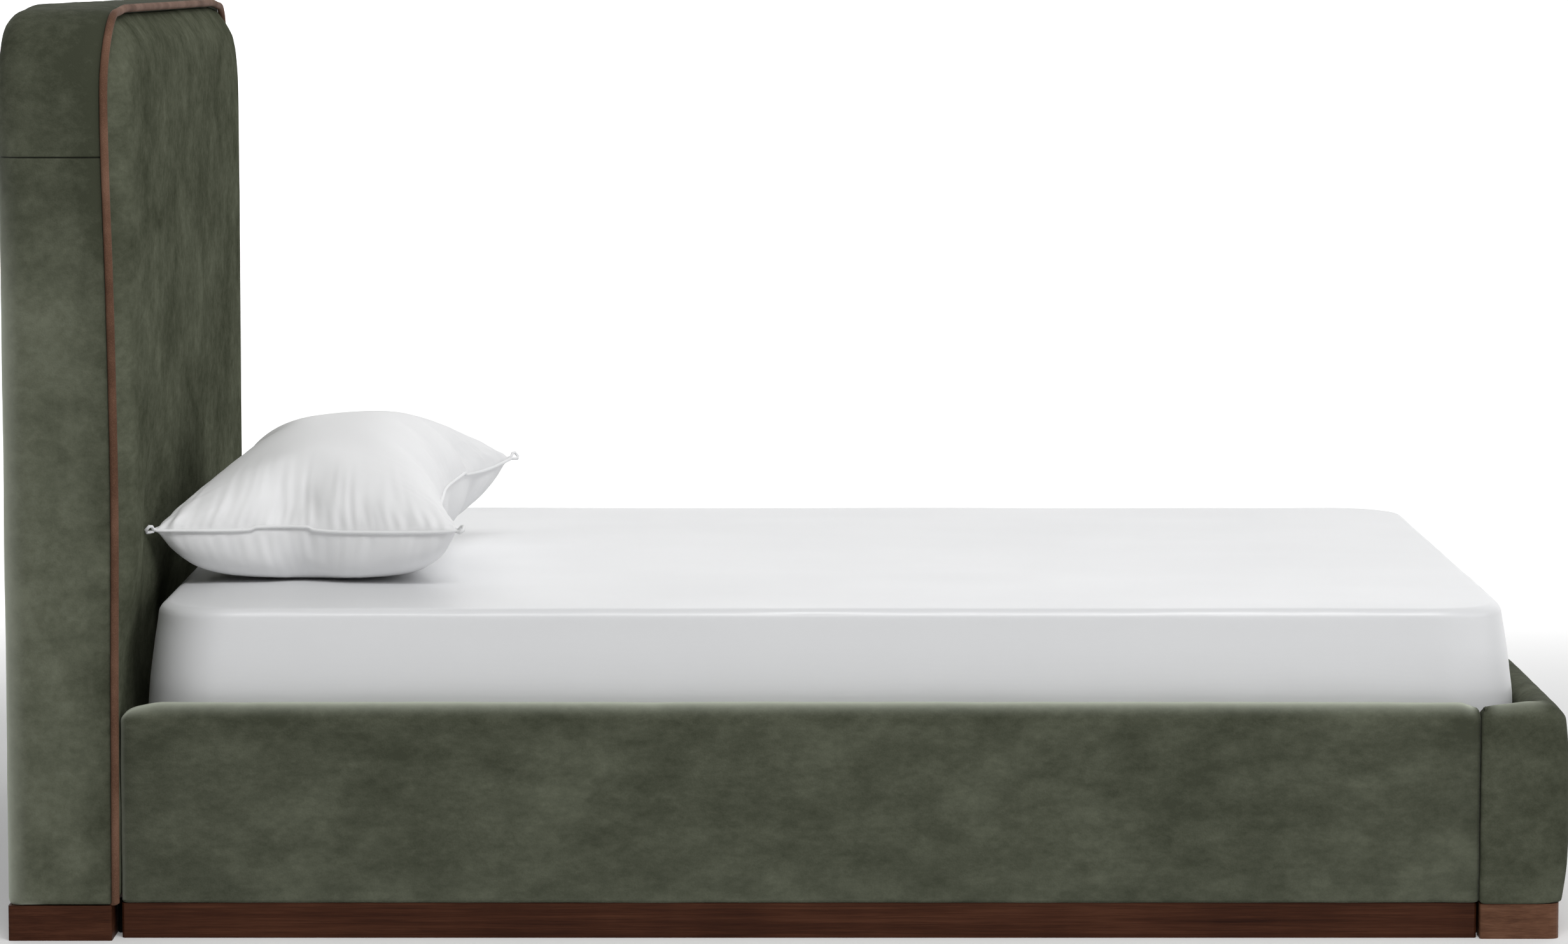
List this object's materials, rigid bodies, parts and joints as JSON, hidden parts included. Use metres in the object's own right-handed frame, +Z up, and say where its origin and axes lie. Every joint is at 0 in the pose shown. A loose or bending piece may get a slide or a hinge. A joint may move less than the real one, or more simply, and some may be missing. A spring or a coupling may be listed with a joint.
{
  "type": "upholstered headboard bed",
  "caption": "Low platform bed with a tall padded velvet headboard edged in leather piping, padded side rails and footboard on timber plinths, with mattress, fitted sheet and pillow.",
  "frame": {"origin": "on the floor, under the middle of the whole bed's outline", "axes": "+X from the headboard to the footboard, +Y to the left hand of someone lying on their back, +Z up"},
  "size_m": [2.294, 1.704, 1.37],
  "materials": {
    "velvet": "short-pile velvet, olive grey-green",
    "welt_leather": "matt brown leather piping",
    "walnut": "dark stained walnut, satin",
    "pine": "planed pine",
    "plywood": "sanded plywood",
    "foam": "open-cell foam",
    "dust_cloth": "black non-woven cloth",
    "steel": "zinc plated",
    "nylon": "black moulded nylon",
    "ticking": "white mattress ticking",
    "sheet_cotton": "smooth white sateen",
    "pillow_cotton": "white down-proof cotton with a corded seam"
  },
  "bodies": {
    "frame": {"headboard_post_left": "pine", "headboard_post_right": "pine", "headboard_top_rail": "pine", "headboard_bottom_rail": "pine", "headboard_front_panel": "plywood", "headboard_back_panel": "plywood", "headboard_dust_cover": "dust_cloth", "headboard_front_foam": "foam", "headboard_front_cover": "velvet", "headboard_border_foam": "foam", "headboard_border_cover": "velvet", "headboard_piping": "welt_leather", "headboard_plinth": "walnut", "rail_board_left": "pine", "rail_board_right": "pine", "rail_foam_left": "foam", "rail_foam_right": "foam", "rail_cover_left": "velvet", "rail_cover_right": "velvet", "rail_plinth_left": "walnut", "rail_plinth_right": "walnut", "rail_ledger_left": "pine", "rail_ledger_right": "pine", "footboard_board": "pine", "footboard_foam": "foam", "footboard_cover": "velvet", "footboard_plinth": "walnut", "slat_01": "pine", "slat_02": "pine", "slat_03": "pine", "slat_04": "pine", "slat_05": "pine", "slat_06": "pine", "slat_07": "pine", "slat_08": "pine", "slat_09": "pine", "slat_10": "pine", "slat_11": "pine", "centre_beam": "pine", "centre_saddle_head": "steel", "centre_saddle_foot": "steel", "support_leg_1": "pine", "support_leg_2": "pine", "corner_angle_head_left": "steel", "corner_angle_head_right": "steel", "corner_angle_foot_left": "steel", "corner_angle_foot_right": "steel", "frame_bolt_head_left": "steel", "frame_bolt_head_right": "steel", "frame_bolt_foot_left": "steel", "frame_bolt_foot_right": "steel", "rail_bolt_head_left": "steel", "rail_bolt_head_right": "steel", "rail_bolt_foot_left": "steel", "rail_bolt_foot_right": "steel"},
    "bed_mattress": {"mattress": "ticking", "fitted_sheet": "sheet_cotton"},
    "bed_pillow": {"pillow": "pillow_cotton"},
    "leveller_1": {"leveller_foot_1": "nylon"},
    "leveller_2": {"leveller_foot_2": "nylon"}
  },
  "joints": [
    {"name": "mattress_lift", "type": "slide", "parent": "frame", "child": "bed_mattress", "axis": [0, 0, 1], "range_m": [0, 0.42]},
    {"name": "pillow_lift", "type": "slide", "parent": "bed_mattress", "child": "bed_pillow", "axis": [0, 0, 1], "range_m": [0, 0.35]},
    {"name": "leveller_1_travel", "type": "slide", "parent": "frame", "child": "leveller_1", "axis": [0, 0, -1], "range_m": [0, 0.012]},
    {"name": "leveller_2_travel", "type": "slide", "parent": "frame", "child": "leveller_2", "axis": [0, 0, -1], "range_m": [0, 0.012]}
  ]
}
